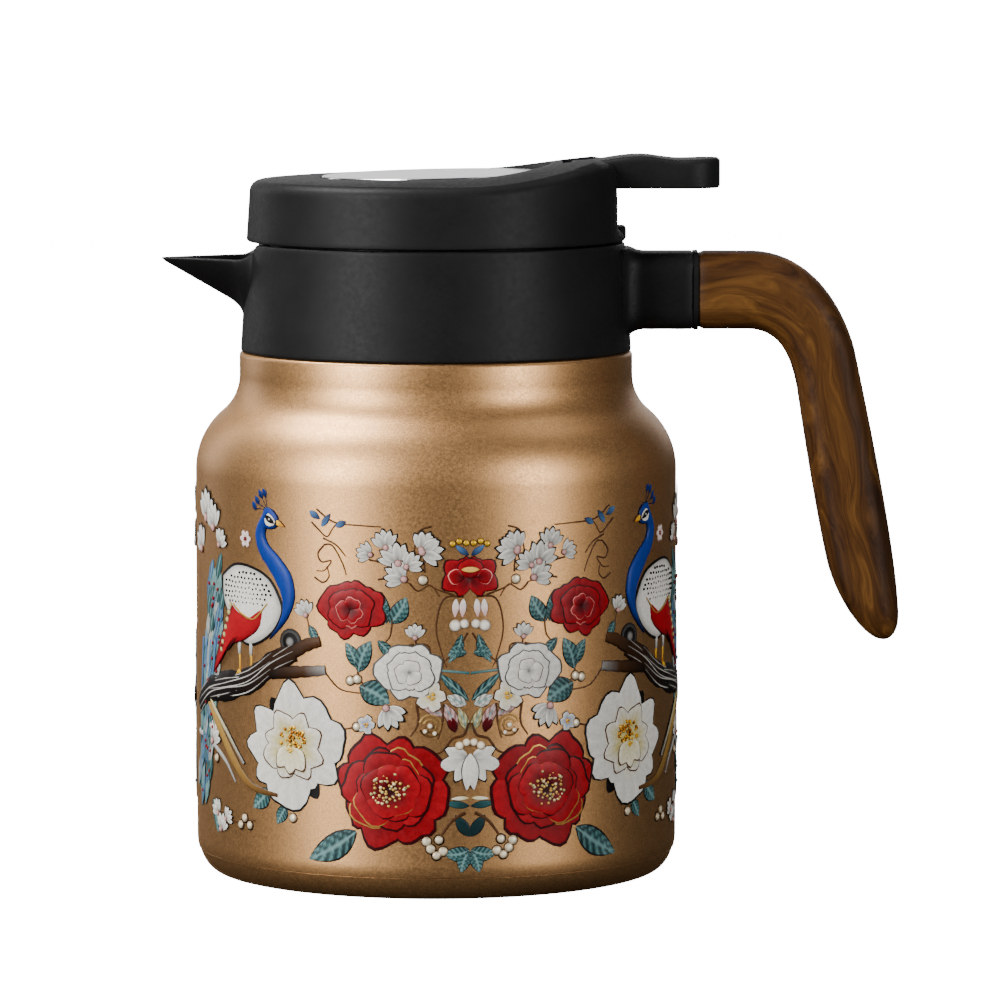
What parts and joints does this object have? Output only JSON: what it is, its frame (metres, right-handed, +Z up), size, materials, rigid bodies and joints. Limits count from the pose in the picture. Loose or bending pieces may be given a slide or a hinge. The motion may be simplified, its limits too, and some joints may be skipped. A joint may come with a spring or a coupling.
{
  "type": "vacuum pot",
  "caption": "Round vacuum-insulated pot with a beak spout, screw lid, thumb lever that lifts a pouring valve, and a wooden side handle.",
  "frame": {"origin": "centre of the foot ring, on the body's axis, in the plane the pot stands on", "axes": "+Z up along the body, +X towards the handle, -X towards the spout"},
  "size_m": [0.1843, 0.12, 0.1787],
  "materials": {
    "bronze_paint": "bronze-gold metallic paint with fine sparkle, printed with flowers and birds",
    "steel": "satin stainless steel",
    "plate_steel": "fine brushed disc, bright",
    "black_plastic": "moulded polypropylene, fine matte texture",
    "inner_plastic": "moulded polypropylene, plain",
    "walnut": "walnut figure under a satin lacquer",
    "silicone": "food-grade silicone, translucent white",
    "spring_steel": "drawn stainless wire"
  },
  "bodies": {
    "pot": {"outer_shell": "bronze_paint", "base_cup": "bronze_paint", "evacuation_seal": "steel", "inner_liner": "steel", "getter": "steel", "collar": "black_plastic", "neck_ring": "inner_plastic", "mouth_gasket": "silicone", "ferrule": "black_plastic", "handle_core": "steel", "handle_grip": "walnut", "grip_screws": "steel", "screw_plugs": "black_plastic"},
    "lid_carrier": {"stopper_gasket": "silicone"},
    "lid": {"lid_cover": "black_plastic", "badge_plate": "plate_steel", "stopper_body": "inner_plastic", "stopper_deck": "inner_plastic", "stem_seal": "silicone", "lid_screws": "steel", "lever_pin": "steel", "valve_spring": "spring_steel"},
    "lever": {"lever": "black_plastic"},
    "valve": {"valve_stem": "steel", "valve_disc": "inner_plastic", "valve_gasket": "silicone", "stem_cap": "inner_plastic"}
  },
  "joints": [
    {"name": "lid_rise", "type": "slide", "parent": "pot", "child": "lid_carrier", "axis": [0, 0, 1], "range_m": [0, 0.0421]},
    {"name": "lid_turn", "type": "hinge", "parent": "lid_carrier", "child": "lid", "pos_m": [0, 0, 0.157], "axis": [0, 0, 1], "range_deg": [0, 720]},
    {"name": "lever_press", "type": "hinge", "parent": "lid", "child": "lever", "pos_m": [0.041, 0, 0.1732], "axis": [0, 1, 0], "range_deg": [0, 7], "stiffness_Nm_per_rad": 0.06, "springref_deg": -10},
    {"name": "valve_lift", "type": "slide", "parent": "lid", "child": "valve", "axis": [0, 0, 1], "range_m": [0, 0.0052], "deforming": ["valve_spring"]}
  ],
  "couplings": [
    {"joint": "lid_rise", "follows": "lid_turn", "m_per_rad": 0.0033423},
    {"joint": "lever_press", "follows": "valve_lift", "rad_per_m": 23.49}
  ]
}
